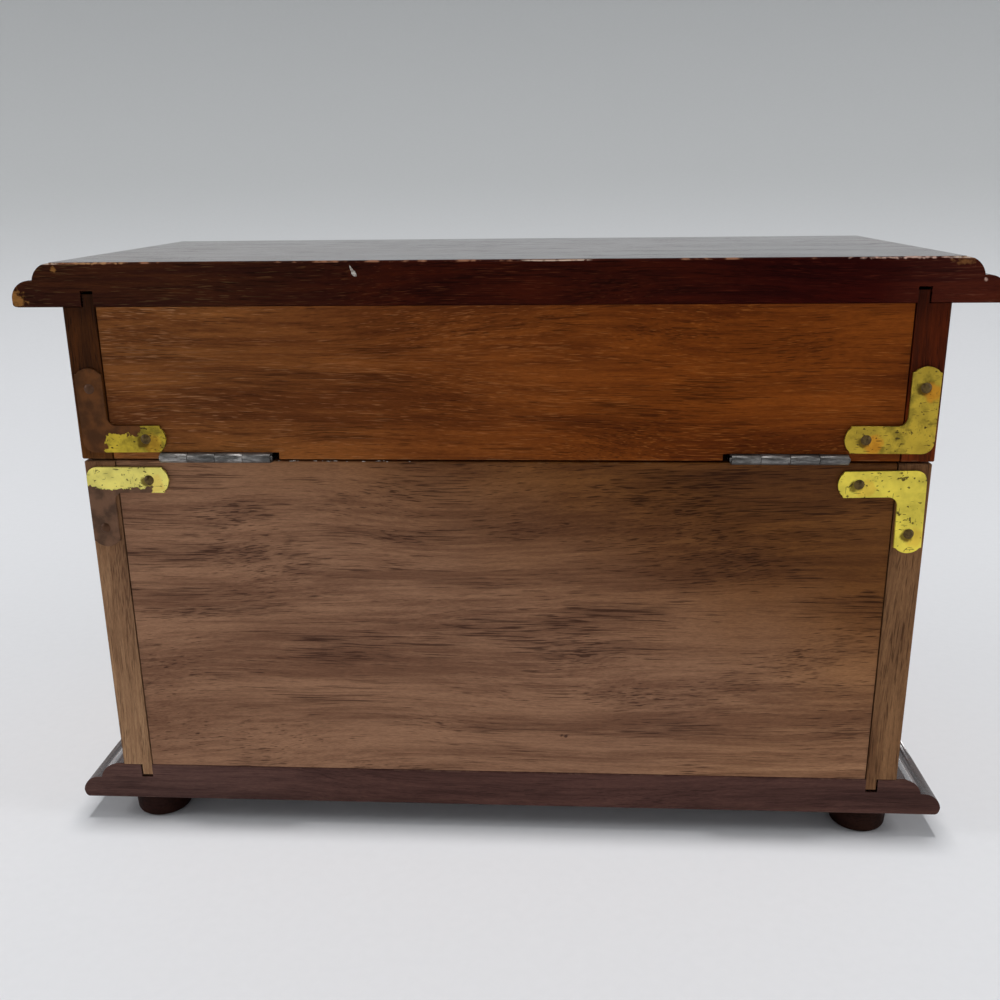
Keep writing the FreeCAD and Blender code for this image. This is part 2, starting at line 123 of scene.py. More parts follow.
def add_camera():
    """Camera at the photograph's viewing angle, looking along -Y and a little down."""
    camera = add_object("camera", bpy.data.cameras.new("camera"))
    camera.data.sensor_width = 36
    camera.data.lens = CAMERA_LENS
    camera.data.clip_start = 0.01
    turn = Matrix.Rotation(CAMERA_YAW, 3, "Z")
    level, up = turn @ Vector((0, -1, 0)), Vector((0, 0, 1))
    side = turn @ Vector((-1, 0, 0))
    forward = level * math.cos(CAMERA_PITCH) + up * math.sin(CAMERA_PITCH)
    lifted = up * math.cos(CAMERA_PITCH) - level * math.sin(CAMERA_PITCH)
    right = side * math.cos(CAMERA_ROLL) + lifted * math.sin(CAMERA_ROLL)
    top = lifted * math.cos(CAMERA_ROLL) - side * math.sin(CAMERA_ROLL)
    facing = Matrix((right, top, -forward)).transposed().to_4x4()
    camera.matrix_world = Matrix.Translation(CAMERA_PLACE) @ facing
    bpy.context.scene.camera = camera


def add_lamp(name, place, target, size, power):
    """Soft square lamp at place, aimed at target."""
    lamp = add_object(name, bpy.data.lights.new(name, "AREA"))
    lamp.data.size = size
    lamp.data.energy = power
    lamp.location = place
    lamp.rotation_mode = "QUATERNION"
    lamp.rotation_quaternion = (Vector(target) - Vector(place)).to_track_quat("-Z", "Y")


def add_sun(name, direction, spread, strength):
    """Even light that comes from the given direction, with soft-edged shadows."""
    sun = add_object(name, bpy.data.lights.new(name, "SUN"))
    sun.data.angle = spread
    sun.data.energy = strength
    sun.rotation_mode = "QUATERNION"
    sun.rotation_quaternion = Vector(direction).to_track_quat("Z", "Y")


def light_room():
    """Dim even room with a broad light overhead and a soft lamp on either side."""
    world = bpy.data.worlds.new("room")
    world.use_nodes = True
    background = world.node_tree.nodes["Background"].inputs
    background["Color"].default_value = (0.93, 0.96, 1.0, 1)
    background["Strength"].default_value = 0.12
    bpy.context.scene.world = world
    bpy.context.scene.view_settings.view_transform = "Standard"
    add_sun("overhead", (0.0, -0.025, 1.0), spread=math.radians(4.5), strength=1.78)
    for name, x in (("left_side", 0.78), ("right_side", -0.78)):
        add_lamp(name, (x, 0.14, 0.42), target=(0, 0.04, 0.05), size=0.3, power=1.8)


def add_stage(material):
    """Round pale floor that sweeps up into a low backdrop on every side."""
    flat, bend, height = 0.45, 0.8, 0.85
    flat_rings, bend_rings, spokes = 8, 12, 96
    profile = [(flat * i / flat_rings, 0.0) for i in range(1, flat_rings + 1)]
    for i in range(1, bend_rings + 1):
        angle = math.radians(90 * i / bend_rings)
        profile.append((flat + bend * math.sin(angle), bend * (1 - math.cos(angle))))
    profile.append((flat + bend, height))
    turns = [2 * math.pi * k / spokes for k in range(spokes)]
    bm = bmesh.new()
    centre = bm.verts.new((0, 0, 0))
    rings = [[bm.verts.new((r * math.cos(a), r * math.sin(a), z)) for a in turns]
             for r, z in profile]
    for k in range(spokes):
        after = (k + 1) % spokes
        bm.faces.new((centre, rings[0][k], rings[0][after]))
        for inner, outer in zip(rings, rings[1:]):
            bm.faces.new((inner[k], outer[k], outer[after], inner[after]))
    shade_smooth(bm)
    make_piece("stage", bm, material)


# Materials

def srgb(red, green, blue):
    """Linear colour of a screen colour given as 0 to 255."""
    def linear(value):
        value /= 255
        return value / 12.92 if value <= 0.04045 else ((value + 0.055) / 1.055) ** 2.4
    return linear(red), linear(green), linear(blue), 1.0


class Surface:
    """A material's nodes, with a short call for each kind used here. Places are in mm."""

    def __init__(self, name, roughness=0.5, metallic=0.0, coat=0.0, coat_roughness=0.2,
                 specular=0.5, coat_ior=1.5):
        self.material = bpy.data.materials.new(name)
        self.material.use_nodes = True
        self.nodes = self.material.node_tree.nodes
        self.links = self.material.node_tree.links
        self.shader = self.nodes["Principled BSDF"].inputs
        self.shader["Roughness"].default_value = roughness
        self.shader["Metallic"].default_value = metallic
        self.shader["Coat Weight"].default_value = coat
        self.shader["Coat Roughness"].default_value = coat_roughness
        self.shader["Coat IOR"].default_value = coat_ior
        self.shader["Specular IOR Level"].default_value = specular
        where = self.nodes.new("ShaderNodeTexCoord").outputs["Object"]
        self.place = self.vector("MULTIPLY", where, (1000, 1000, 1000))
        split = self.nodes.new("ShaderNodeSeparateXYZ")
        self.links.new(self.place, split.inputs[0])
        self.x, self.y, self.z = split.outputs

    def put(self, socket, value):
        """Links the socket to value where that is a socket too, and sets it otherwise."""
        if isinstance(value, bpy.types.NodeSocket):
            self.links.new(value, socket)
        else:
            socket.default_value = value

    def paint(self, colour):
        self.put(self.shader["Base Color"], colour)

    def math(self, operation, *values):
        node = self.nodes.new("ShaderNodeMath")
        node.operation = operation
        for socket, value in zip(node.inputs, values):
            self.put(socket, value)
        return node.outputs[0]

    def vector(self, operation, *values):
        node = self.nodes.new("ShaderNodeVectorMath")
        node.operation = operation
        for socket, value in zip(node.inputs, values):
            self.put(socket, value)
        return node.outputs[1 if operation in ("DISTANCE", "DOT_PRODUCT") else 0]

    def noise(self, size, detail=2.0, roughness=0.5, shift=0.0, at=None):
        """Noise whose blotches are about size mm across, one size for all axes or one for each."""
        sizes = size if isinstance(size, tuple) else (size,) * 3
        scaled = self.vector("MULTIPLY_ADD", at or self.place, tuple(1 / s for s in sizes),
                             (shift, 1.7 * shift, 0.6 * shift))
        node = self.nodes.new("ShaderNodeTexNoise")
        self.links.new(scaled, node.inputs["Vector"])
        node.inputs["Scale"].default_value = 1.0
        node.inputs["Detail"].default_value = detail
        node.inputs["Roughness"].default_value = roughness
        return node.outputs[0]

    def fade(self, value, start, end):
        """0 where value is at start and 1 where it is at end, smooth between them."""
        node = self.nodes.new("ShaderNodeMapRange")
        node.interpolation_type = "SMOOTHSTEP"
        for socket, number in zip(node.inputs, (value, start, end)):
            self.put(socket, number)
        return node.outputs[0]

    def span(self, value, low, high):
        """Value from 0 to 1 stretched to low to high."""
        return self.math("MULTIPLY_ADD", value, high - low, low)

    def mix(self, share, first, second, blend="MIX"):
        """Colour first, with a share of second blended in."""
        node = self.nodes.new("ShaderNodeMix")
        node.data_type = "RGBA"
        node.blend_type = blend
        for index, value in ((0, share), (6, first), (7, second)):
            self.put(node.inputs[index], value)
        return node.outputs[2]

    def attribute(self, name):
        node = self.nodes.new("ShaderNodeAttribute")
        node.attribute_name = name
        return node.outputs["Fac"]

    def bump(self, height, depth):
        """Relief of the given height map, depth mm from its 0 to its 1."""
        node = self.nodes.new("ShaderNodeBump")
        node.inputs["Distance"].default_value = depth * MM
        self.links.new(height, node.inputs["Height"])
        self.links.new(node.outputs[0], self.shader["Normal"])


BARE_WOOD = (204, 178, 158)


def wood(name, light, dark, pore, along="x", pores=0.7, pore_size=(9.0, 0.25), pale=None,
         pales=0.0, shades=(), worn=(150, 110, 75), wear=0.5, tilt=0.0, roughness=0.45,
         specular=0.08, relief_depth=0.04, marks=(), shift=0.0, **coat):
    """Lacquered open-pored wood whose grain runs along one axis.

    pores and pales are how strongly the dark and the filled pale pores show, and pore_size is
    their length and width. shades lists (direction, start, end, tint): as a place's reach along
    the direction goes from start to end, the colour goes over to itself times the tint. marks
    lists (place, reach, stretch, colour) of small patches of another colour, stretched along x.
    shift moves the noise, so that each wood has its own figure.
    """
    s = Surface(name, specular=specular, **coat)
    run = AXES.index(along)
    across = tuple(0.0 if i == run else 1.0 for i in range(3))

    def size(length, width):
        return tuple(length if i == run else width for i in range(3))

    # The grain wanders by up to 6 mm, and leans by tilt
    drift = s.math("SUBTRACT", s.noise(size(85, 30), detail=1, shift=shift + 3), 0.5)
    at = s.vector("MULTIPLY_ADD", drift, tuple(12.0 * a for a in across), s.place)
    if tilt:
        at = s.vector("MULTIPLY_ADD", s.math("MULTIPLY", (s.x, s.y, s.z)[run], tilt), across, at)

    # Figure, streaks and fibres
    figure = s.noise(size(120, 9), detail=3, shift=shift, at=at)
    streak = s.noise(size(24, 0.9), detail=3, roughness=0.6, shift=shift + 11, at=at)
    fibre = s.noise(size(1.6, 0.2), detail=2, roughness=0.7, shift=shift + 5, at=at)
    tone = s.math("MULTIPLY_ADD", figure, 0.6, s.math("MULTIPLY", streak, 0.4))
    colour = s.mix(s.fade(tone, 0.36, 0.64), srgb(*dark), srgb(*light))

    # Dark pores that gather in darker blotches, and pale filled ones
    cluster = s.noise(size(36, 6), detail=2, shift=shift + 17, at=at)
    blotch = s.math("MULTIPLY", s.fade(cluster, 0.46, 0.72), 0.34)
    colour = s.mix(blotch, colour, srgb(*(0.55 * a + 0.45 * b for a, b in zip(dark, pore))))
    dashes = s.noise(size(*pore_size), detail=1, shift=shift + 23, at=at)
    pitted = s.fade(s.math("MULTIPLY_ADD", cluster, 0.55, dashes), 0.85, 1.0)
    colour = s.mix(s.math("MULTIPLY", pitted, pores), colour, srgb(*pore))
    if pale:
        filled = s.noise(size(5.0, 0.2), detail=1, shift=shift + 41, at=at)
        patchy = s.math("MULTIPLY", s.noise(size(24, 6), detail=1, shift=shift + 47, at=at), 0.3)
        flecks = s.fade(s.math("ADD", filled, patchy), 0.76, 0.88)
        colour = s.mix(s.math("MULTIPLY", flecks, pales), colour, srgb(*pale))
    grey = s.span(s.fade(fibre, 0.25, 0.75), 0.82, 1.16)
    colour = s.mix(1.0, colour, grey, "MULTIPLY")

    # Slow changes of colour from one side to another, which some callers use for painted light
    for direction, start, end, tint in shades:
        border = s.span(s.noise(12, detail=3), -5, 5)
        reach = s.math("ADD", s.vector("DOT_PRODUCT", s.place, direction), border)
        tinted = s.mix(1.0, colour, (*tint, 1.0), "MULTIPLY")
        colour = s.mix(s.fade(reach, start, end), colour, tinted)

    # Rubbed edges, bare chips and single marks
    rubbed = s.fade(s.noise(5, detail=4, roughness=0.7, shift=shift + 2), 0.5, 0.64)
    rubbed = s.math("MULTIPLY", s.math("MULTIPLY", rubbed, s.attribute("wear")), wear)
    colour = s.mix(rubbed, colour, srgb(*worn))
    bitten = s.fade(s.noise(1.3, detail=3), 0.36, 0.52)
    bare = s.math("MULTIPLY", s.fade(s.attribute("chip"), 0.1, 0.5), bitten)
    colour = s.mix(bare, colour, srgb(*BARE_WOOD))
    for place, reach, stretch, mark in marks:
        squeeze = Vector((1 / stretch, 1, 1))
        squeezed = s.vector("MULTIPLY", s.place, squeeze)
        away = s.vector("DISTANCE", squeezed, Vector(place) * squeeze)
        away = s.math("ADD", away, s.span(s.noise(1.1, detail=3), -1.4 * reach, 1.4 * reach))
        shown = s.math("MULTIPLY", s.fade(away, reach, 0.3 * reach), 0.85)
        colour = s.mix(shown, colour, s.mix(1.0, srgb(*mark), grey, "MULTIPLY"))
    s.paint(colour)

    # Gloss, duller in the pores, and relief
    uneven = s.span(s.noise(14, detail=3, shift=shift + 9), roughness - 0.1, roughness + 0.1)
    s.put(s.shader["Roughness"], s.math("MULTIPLY_ADD", pitted, 0.2, uneven))
    relief = s.math("SUBTRACT", s.math("MULTIPLY", fibre, 0.3), s.math("MULTIPLY", pitted, 0.7))
    s.bump(relief, relief_depth)
    return s.material


def mahogany(name, **gloss):
    """Dark red-brown wood of the top board, browner towards the picture's left, with the bare
    wood that shows where its back corners are rubbed."""
    edge_y, edge_z = BACK_Y / MM, TOP_Z / MM
    tan, rosy = (164, 112, 58), (214, 174, 156)
    left_marks = [((105.0, edge_y, 130.4), 2.3, 1.0, tan),
                  ((96.3, edge_y, 136.8), 0.7, 1.4, tan),
                  ((88.0, edge_y, edge_z), 0.45, 18.0, (186, 138, 96))]
    right_marks = [((-96.8, edge_y, 137.5), 1.1, 2.2, (138, 92, 52)),
                   ((-101.4, edge_y, 133.7), 0.45, 1.0, rosy),
                   ((-86.0, edge_y, edge_z), 0.5, 22.0, rosy)]
    return wood(name, (70, 22, 8), (44, 10, 5), (24, 6, 3), pores=0.6, pale=(116, 62, 36),
                pales=0.3, worn=(152, 104, 78), wear=1.0, marks=left_marks + right_marks,
                shades=[((1, 0, 0), 10, 75, (1.4, 3.0, 3.2)),
                        ((-1, 0, 0), 20, 70, (0.8, 0.45, 0.6)),
                        ((-1, 0, 0), 76, 98, (1.8, 4.4, 4.8))], **gloss)


def walnut(name, **gloss):
    """Grey-brown wood of the base board."""
    return wood(name, (97, 65, 57), (67, 42, 37), (46, 27, 25), pores=0.5, shift=20,
                worn=(130, 100, 86), wear=0.3, shades=[((1, 0, 0), 20, 90, (1.2, 1.35, 1.4))],
                **gloss)


def make_stage_material():
    """Pale paper, with painted shade that makes it a little darker up the backdrop."""
    s = Surface("stage_paper", roughness=0.85, specular=0.2)
    grain = s.span(s.noise(2.5, detail=3), 0.98, 1.02)
    # The colour darkens with height: painted shade up the backdrop
    lift = s.mix(s.fade(s.z, 0, 170), srgb(227, 228, 231), srgb(200, 202, 203))
    s.paint(s.mix(1.0, lift, grain, "MULTIPLY"))
    return s.material


def brass(name, tone=(255, 232, 92), pins=(), cover=None, cover_colour=(0, 0, 0), dull=0.2,
          orange=0.25, shift=0.0):
    """Worn brass with dark specks and scratches, with orange stains beside its pins, whose places
    are (x, z), and with a painted shadow of each pin on the plate, below it.

    dull and orange are how strongly the olive patches and the orange stains show. cover gives a
    place's distance past the border of the old brown varnish that hides a part of the brass.
    """
    s = Surface(name, metallic=0.7, specular=0.1)
    cloud = s.noise(5, detail=3, shift=shift)
    colour = s.mix(s.fade(cloud, 0.35, 0.65), srgb(*tone), srgb(*(0.88 * c for c in tone)))
    patches = s.noise(7, detail=4, roughness=0.65, shift=shift + 8)
    olive = s.math("MULTIPLY", s.fade(patches, 0.5, 0.66), dull)
    colour = s.mix(olive, colour, srgb(104, 92, 34))

    # Orange stains beside the pins, and each pin's painted shadow below it
    flat_place = s.vector("MULTIPLY", s.place, (1, 0, 1))
    ragged = s.span(s.noise(1.6, detail=3, shift=shift), -1.0, 1.0)
    # The first row is a rust-orange stain; the second, dark and set below the pin towards the
    # picture's left, is the pin's painted shadow
    for across, down, reach, share, stain_and_shadow_colour in ((-1.4, -1.0, 2.6, orange, (222, 138, 34)),
                                              (0.5, -0.5, 1.7, 0.85, (84, 62, 22))):
        for x, z in pins:
            near = s.vector("DISTANCE", flat_place, (x + across, 0, z + down))
            near = s.fade(s.math("ADD", near, ragged), reach, 0.6 * reach)
            colour = s.mix(s.math("MULTIPLY", near, share), colour, srgb(*stain_and_shadow_colour))

    # Specks, level scratches and upright ones
    clustered = s.math("MULTIPLY", s.noise(5, detail=2, shift=shift + 6), 0.3)
    clustered = s.math("MULTIPLY_ADD", s.attribute("wear"), 0.05, clustered)
    specks = s.math("ADD", s.noise((1.0, 1.0, 0.65), detail=3, shift=shift + 2), clustered)
    scratches = s.fade(s.noise((2.4, 9, 0.26), detail=1, shift=shift + 12), 0.7, 0.75)
    steep = s.fade(s.noise((0.24, 9, 2.0), detail=1, shift=shift + 15), 0.72, 0.77)
    marks = s.math("MAXIMUM", s.fade(specks, 0.78, 0.83), s.math("MAXIMUM", scratches, steep))
    colour = s.mix(s.math("MULTIPLY", marks, 0.85), colour, srgb(58, 42, 20))
    colour = s.mix(s.math("MULTIPLY", s.attribute("wear"), 0.7), colour, srgb(84, 62, 28))
    roughness = s.span(s.noise(3, detail=3, shift=shift + 1), 0.28, 0.5)
    metal = s.math("SUBTRACT", 0.7, s.math("MULTIPLY", marks, 0.6))
    height = s.math("SUBTRACT", s.math("MULTIPLY", cloud, 0.4), s.math("MULTIPLY", marks, 0.4))

    if cover:
        border = s.span(s.noise(2.2, detail=4, roughness=0.65, shift=4), -2.2, 2.2)
        hidden = s.fade(s.math("ADD", cover(s), border), -0.12, 0.12)
        varnish = s.mix(s.fade(s.noise(3.5, detail=4, shift=shift + 3), 0.35, 0.65),
                        srgb(*cover_colour), srgb(*(0.72 * c for c in cover_colour)))
        colour = s.mix(hidden, colour, varnish)
        metal = s.math("MULTIPLY", metal, s.math("SUBTRACT", 1.0, hidden))
        height = s.math("ADD", height, s.math("MULTIPLY", hidden, 0.8))
        roughness = s.math("ADD", roughness, s.math("MULTIPLY", hidden, 0.12))
    s.paint(colour)
    s.put(s.shader["Metallic"], metal)
    s.put(s.shader["Roughness"], roughness)
    s.bump(height, 0.06)
    return s.material


def varnish_on_lid_plate(s):
    """The upright arm, and the upper part of the level one up to near its pin."""
    upright_from_x, level_from_x, level_from_z = 89.0, 80.5, 100.4
    level = s.math("MINIMUM", s.math("SUBTRACT", s.z, level_from_z),
                   s.math("SUBTRACT", s.x, level_from_x))
    return s.math("MAXIMUM", s.math("SUBTRACT", s.x, upright_from_x), level)


def varnish_on_case_plate(s):
    """The lower part, up to near the pin of the level arm."""
    below_z, from_x = 87.9, 79.5
    return s.math("MINIMUM", s.math("SUBTRACT", below_z, s.z), s.math("SUBTRACT", s.x, from_x))


def make_pin_brass():
    """Dark tarnished brass, under brown varnish at the picture's left end of the back."""
    s = Surface("pin_brass", specular=0.15, metallic=0.3)
    cloud = s.noise(0.9, detail=3)
    colour = s.mix(s.fade(cloud, 0.35, 0.65), srgb(72, 55, 30), srgb(106, 86, 48))
    varnished = s.math("MULTIPLY", s.fade(s.x, 84, 86), s.fade(s.y, 40, 42))
    s.paint(s.mix(varnished, colour, srgb(86, 58, 40)))
    s.put(s.shader["Roughness"], s.span(cloud, 0.35, 0.6))
    s.bump(cloud, 0.08)
    return s.material


def make_steel(name, bright):
    """Dull steel with a grey oxide skin that is rubbed bright in streaks."""
    s = Surface(name, metallic=0.8, specular=0.3)
    skin = s.noise((2.2, 0.45, 0.45), detail=4, roughness=0.7)
    patch = s.math("MULTIPLY", s.noise((5, 9, 9), detail=1, shift=2), 0.5)
    rubbed = s.fade(s.math("ADD", skin, patch), 0.62, 0.98)
    colour = s.mix(rubbed, srgb(88, 86, 84), srgb(bright, 0.98 * bright, 0.96 * bright))
    rust = s.math("MULTIPLY", s.fade(s.noise(1.4, detail=4, shift=9), 0.6, 0.72), 0.5)
    s.paint(s.mix(rust, colour, srgb(74, 56, 44)))
    s.put(s.shader["Roughness"], s.span(s.noise((3, 0.3, 0.3), detail=3, shift=4), 0.3, 0.6))
    s.bump(skin, 0.03)
    return s.material


def make_felt():
    """Dark red felt with lighter hairs."""
    s = Surface("felt", roughness=0.95, specular=0.1)
    s.shader["Sheen Weight"].default_value = 0.3
    s.shader["Sheen Roughness"].default_value = 0.5
    fluff = s.noise(0.5, detail=4, roughness=0.7)
    hairs = s.fade(s.noise((1.8, 0.16, 0.5), detail=2, shift=5), 0.5, 0.75)
    colour = s.mix(s.fade(fluff, 0.3, 0.7), srgb(70, 16, 20), srgb(104, 28, 32))
    s.paint(s.mix(s.math("MULTIPLY", hairs, 0.3), colour, srgb(140, 60, 60)))
    s.bump(s.math("ADD", fluff, s.math("MULTIPLY", hairs, 0.5)), 0.25)
    return s.material


def make_fleck_paint():
    """Dull off-white of the fleck on the top board and of the fluff in the parting line."""
    s = Surface("white_fleck", roughness=0.6)
    cloud = s.fade(s.noise(0.5, detail=3), 0.35, 0.65)
    s.paint(s.mix(cloud, srgb(214, 206, 196), srgb(140, 126, 116)))
    s.bump(s.noise(0.4), 0.1)
    return s.material


# Pieces made from the CAD nodes, with softened and worn edges

SHARP = math.radians(35)
HARD_LOOK = math.radians(32)
EASED_WITHIN = 0.5 * MM


def clean_copy(name):
    """bmesh of a CAD node with its seams joined and its flat faces whole."""
    source = nodes[name].data
    bm = bmesh.new()
    corners = [bm.verts.new(v.co) for v in source.vertices]
    for face in source.polygons:
        bm.faces.new([corners[i] for i in face.vertices])
    bmesh.ops.remove_doubles(bm, verts=bm.verts, dist=1e-6)
    bmesh.ops.dissolve_limit(bm, angle_limit=math.radians(0.5), verts=bm.verts[:],
                             edges=bm.edges[:])
    return bm


def slice_along(bm, axis, places):
    """Cuts the mesh by planes across an axis, so that its long edges can be uneven."""
    normal = Vector([1.0 if i == axis else 0.0 for i in range(3)])
    for place in places:
        everything = bm.verts[:] + bm.edges[:] + bm.faces[:]
        bmesh.ops.bisect_plane(bm, geom=everything, dist=1e-7, plane_co=normal * place,
                               plane_no=normal)


def tuck_under(bm, low, high, rise, reach):
    """Rounds a board's lip inwards over its lowest rise, in m, by up to reach, except at the
    back."""
    slices = 6
    slice_along(bm, 2, [low.z + rise * i / slices for i in range(1, slices)])
    for v in bm.verts:
        height = max(0.0, (v.co.z - low.z) / rise)
        if height > 1:
            continue
        inset = reach * (1 - math.sqrt(1 - (1 - height) ** 2))
        edge = high.x - abs(v.co.x)
        if edge < reach:
            v.co.x = math.copysign(high.x - max(edge, inset), v.co.x)
        if v.co.y - low.y < reach:
            v.co.y = low.y + max(v.co.y - low.y, inset)


def soften_edges(bm, width):
    """Bevels the sharp edges by width, in m, and returns the faces of the bevels."""
    sharp = [e for e in bm.edges if e.is_manifold and e.calc_face_angle(0) > SHARP]
    strips = bmesh.ops.bevel(bm, geom=sharp, offset=width, offset_type="OFFSET", segments=2,
                             profile=0.5, affect="EDGES", clamp_overlap=True)["faces"]
    bm.normal_update()
    return set(strips)


def is_eased(vertex, low, high):
    """True for a vertex inside the rounding of one of the box's own edges."""
    gaps = sorted(min(vertex.co[i] - low[i], high[i] - vertex.co[i]) for i in range(3))
    if gaps[1] > EASED_WITHIN:
        return False
    return all(max(abs(c) for c in face.normal) < 0.9999 for face in vertex.link_faces)


def wear_edges(bm, edge_points, depth, dents, worn_from, seed):
    """Sinks the edge points unevenly, and marks them as worn and those in the dents as bare."""
    wear = bm.verts.layers.float.new("wear")
    chip = bm.verts.layers.float.new("chip")
    moves = {}
    for v in bm.verts:
        if not edge_points(v):
            continue
        v[wear] = 1.0 if v.co.y > BACK_Y - 0.5 * MM else 0.35
        if v.co.z < worn_from * MM:
            v[wear] = 0.0
        rough = noise.noise(v.co * 260 + Vector((seed, seed, seed))) * 0.5 + 0.5
        sink = depth * MM * rough
        for place, reach, amount in dents:
            near = 1 - (v.co - Vector(place)).length / reach
            if near > 0:
                knock = noise.noise(v.co * 900 + Vector((seed, 3, 7))) * 0.5 + 0.75
                sink += amount * min(1.0, 1.6 * near) * knock
                v[chip] = min(1.0, 1.6 * near) * knock
        moves[v] = v.normal * -sink
    for v, move in moves.items():
        v.co += move


def dress(name, material, bevel=0.2, depth=0.06, spacing=3.0, dents=(), worn_from=0.0,
          tuck=None, seed=0.0):
    """Replaces a CAD node by a copy whose edges are softened, uneven and marked as worn.

    bevel, depth and spacing are in mm. dents lists (place, reach, depth) in m: edge points within
    reach of place sink by up to depth and are marked as bare. The back's edges are the most worn,
    and edges below the height worn_from, in mm, are not. tuck is the height and reach in mm of
    the rounding under the moulding.
    """
    bm = clean_copy(name)
    low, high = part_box(name)
    if tuck:
        tuck_under(bm, low, high, *(part * MM for part in tuck))
    extent = high - low
    run = max(range(3), key=lambda i: extent[i])
    if spacing:
        count = int(extent[run] / (spacing * MM))
        slice_along(bm, run, [low[run] + extent[run] * i / count for i in range(1, count)])
    strips = soften_edges(bm, bevel * MM)
    wear_edges(bm, lambda v: set(v.link_faces) <= strips or is_eased(v, low, high), depth, dents,
               worn_from, seed)
    for edge in bm.edges:
        edge.smooth = edge.is_manifold and edge.calc_face_angle(0) < HARD_LOOK
    for face in bm.faces:
        face.smooth = max(abs(c) for c in face.normal) < 0.9995
    piece = make_piece(name + "_worn", bm, material)
    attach(piece, nodes[name]["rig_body"])
    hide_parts(name)
    return piece


def repaint(name, material):
    """Gives a CAD node that keeps its own shape a finer material."""
    mesh = nodes[name].data
    for index in range(len(mesh.materials)):
        mesh.materials[index] = material


def cut_slots(piece, slots):
    """Cuts driver slots into screw heads. slots lists (place, axis of the screw, angle, size),
    the size being the slot's length, width and depth in mm."""
    bm = bmesh.new()
    for place, axis, angle, size in slots:
        facing = Vector(axis).to_track_quat("Z", "Y").to_matrix().to_4x4()
        turn = facing @ Matrix.Rotation(angle, 4, "Z")
        scale = Matrix.Diagonal((*(s * MM for s in size), 1.0))
        bmesh.ops.create_cube(bm, size=1.0, matrix=Matrix.Translation(place) @ turn @ scale)
    cutter = make_piece("slots", bm)
    modifier = piece.modifiers.new("slots", "BOOLEAN")
    modifier.object = cutter
    modifier.solver = "EXACT"
    evaluated = piece.evaluated_get(bpy.context.evaluated_depsgraph_get())
    shaped = bpy.data.meshes.new_from_object(evaluated)
    piece.modifiers.clear()
    piece.data = shaped
    bpy.data.objects.remove(cutter)


def lay_felt(name, material):
    """Sheet of felt with slightly uneven faces and edges, lying on the floor of the case."""
    low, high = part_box(name)
    centre_x, centre_y = (low.x + high.x) / 2, (low.y + high.y) / 2
    half_x, half_y = (high.x - low.x) / 2, (high.y - low.y) / 2
    columns, rows = 70, 27
    bm = bmesh.new()

    def corner(u, v, level, lift):
        """Point at u and v, from -1 to 1, of the layer at a level that waves by up to lift."""
        x, y = centre_x + u * half_x, centre_y + v * half_y
        fray = 0.35 * MM * (noise.noise(Vector((x, y, 0)) * 160) * 0.5 + 0.5)
        x -= math.copysign(fray, u) * (abs(u) > 0.999)
        y -= math.copysign(fray, v) * (abs(v) > 0.999)
        return bm.verts.new((x, y, level + lift * noise.noise(Vector((x, y, 0)) * 90)))

    under, over = [[[corner(2 * i / columns - 1, 2 * j / rows - 1, level, lift)
                     for i in range(columns + 1)] for j in range(rows + 1)]
                   for level, lift in ((low.z + 0.02 * MM, 0.0), (high.z - 0.12 * MM, 0.1 * MM))]
    for j in range(rows):
        for i in range(columns):
            bm.faces.new((over[j][i], over[j][i + 1], over[j + 1][i + 1], over[j + 1][i]))
            bm.faces.new((under[j][i], under[j + 1][i], under[j + 1][i + 1], under[j][i + 1]))
    ring = [(0, i) for i in range(columns)] + [(j, columns) for j in range(rows)]
    ring += [(rows, i) for i in range(columns, 0, -1)] + [(j, 0) for j in range(rows, 0, -1)]
    for (j, i), (jj, ii) in zip(ring, ring[1:] + ring[:1]):
        bm.faces.new((under[j][i], under[jj][ii], over[jj][ii], over[j][i]))
    shade_smooth(bm)
    piece = make_piece(name + "_sheet", bm, material)
    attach(piece, "case")
    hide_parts(name)


def flakes(name, body, material, specks):
    """Small irregular flakes in one piece. specks lists (place, size along x, y and z, slant of x
    over z)."""
    bm = bmesh.new()
    for number, (place, size, slant) in enumerate(specks):
        made = bmesh.ops.create_icosphere(bm, subdivisions=3, radius=0.5)["verts"]
        for v in made:
            wobble = 1 + 0.45 * noise.noise(v.co * 2.4 + Vector((number * 5.3, 0, 0)))
            v.co = Vector([v.co[i] * size[i] * wobble for i in range(3)])
            v.co.x += slant * v.co.z
            v.co += Vector(place)
    shade_smooth(bm)
    piece = make_piece(name, bm, material)
    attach(piece, body)


def pins_of(name):
    """(x, z) in mm of a plate's two pins, from the plate's own box."""
    low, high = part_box(name)
    from_tip, from_edge = 4.6, 3.05
    left, right = low.x / MM, high.x / MM
    down, up = low.z / MM, high.z / MM
    corner_x, tip_x = (left, right) if name.endswith("left") else (right, left)
    corner_z, tip_z = (down, up) if name.startswith("lid") else (up, down)
    inward, away = math.copysign(1, tip_x - corner_x), math.copysign(1, tip_z - corner_z)
    return [(tip_x - inward * from_tip, corner_z + away * from_edge),
            (corner_x + inward * from_edge, tip_z - away * from_tip)]


add_camera()
light_room()
add_stage(make_stage_material())


# Boards and feet

